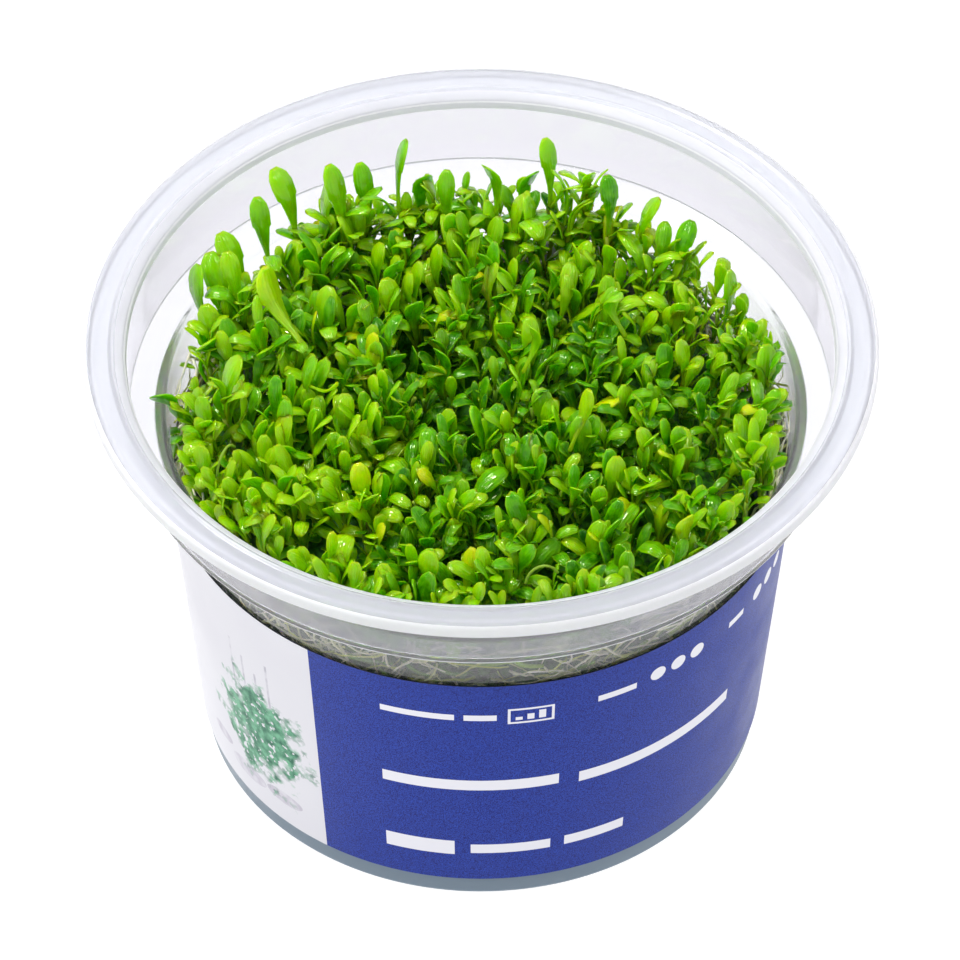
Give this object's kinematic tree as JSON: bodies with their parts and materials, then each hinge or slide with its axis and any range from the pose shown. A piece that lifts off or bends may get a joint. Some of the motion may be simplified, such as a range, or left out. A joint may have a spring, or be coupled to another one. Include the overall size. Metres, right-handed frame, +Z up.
{
  "type": "glossostigma elatinoides aquarium plant in a tissue-culture cup",
  "caption": "Low carpeting aquarium plant grown as a dense cushion of paired spatula leaves on clear gel, in a flanged translucent plastic cup with a printed sleeve.",
  "frame": {"origin": "centre of the cup's foot ring, on the surface that the cup stands on", "axes": "+Z up along the cup's axis, -Y towards the front of the sleeve, +X to the right seen from the front"},
  "size_m": [0.1, 0.1, 0.0645],
  "materials": {
    "cup_plastic": "milky translucent polypropylene, satin",
    "printed_label": "dark blue print with a white panel, satin",
    "nutrient_gel": "clear wet agar gel",
    "stems": "moist pale green stems and roots",
    "leaf": "smooth glossy green leaf"
  },
  "bodies": {
    "root": {"cup": "cup_plastic", "label": "printed_label", "gel": "nutrient_gel", "stem_mat": "stems", "plantlet_01": "leaf", "plantlet_02": "leaf", "plantlet_03": "leaf", "plantlet_04": "leaf", "plantlet_05": "leaf", "plantlet_06": "leaf", "plantlet_07": "leaf", "plantlet_08": "leaf", "plantlet_09": "leaf", "plantlet_10": "leaf", "plantlet_11": "leaf", "plantlet_12": "leaf", "plantlet_13": "leaf", "plantlet_14": "leaf", "plantlet_15": "leaf", "plantlet_16": "leaf", "plantlet_17": "leaf", "plantlet_18": "leaf", "plantlet_19": "leaf", "plantlet_20": "leaf", "plantlet_21": "leaf", "plantlet_22": "leaf", "plantlet_23": "leaf", "plantlet_24": "leaf", "plantlet_25": "leaf", "plantlet_26": "leaf", "plantlet_27": "leaf", "plantlet_28": "leaf", "plantlet_29": "leaf", "plantlet_30": "leaf", "plantlet_31": "leaf", "plantlet_32": "leaf", "plantlet_33": "leaf", "plantlet_34": "leaf", "plantlet_35": "leaf", "plantlet_36": "leaf", "plantlet_37": "leaf", "plantlet_38": "leaf", "plantlet_39": "leaf", "plantlet_40": "leaf", "plantlet_41": "leaf", "plantlet_42": "leaf", "plantlet_43": "leaf", "plantlet_44": "leaf", "plantlet_45": "leaf", "plantlet_46": "leaf", "plantlet_47": "leaf", "plantlet_48": "leaf", "plantlet_49": "leaf", "plantlet_50": "leaf"}
  },
  "joints": []
}
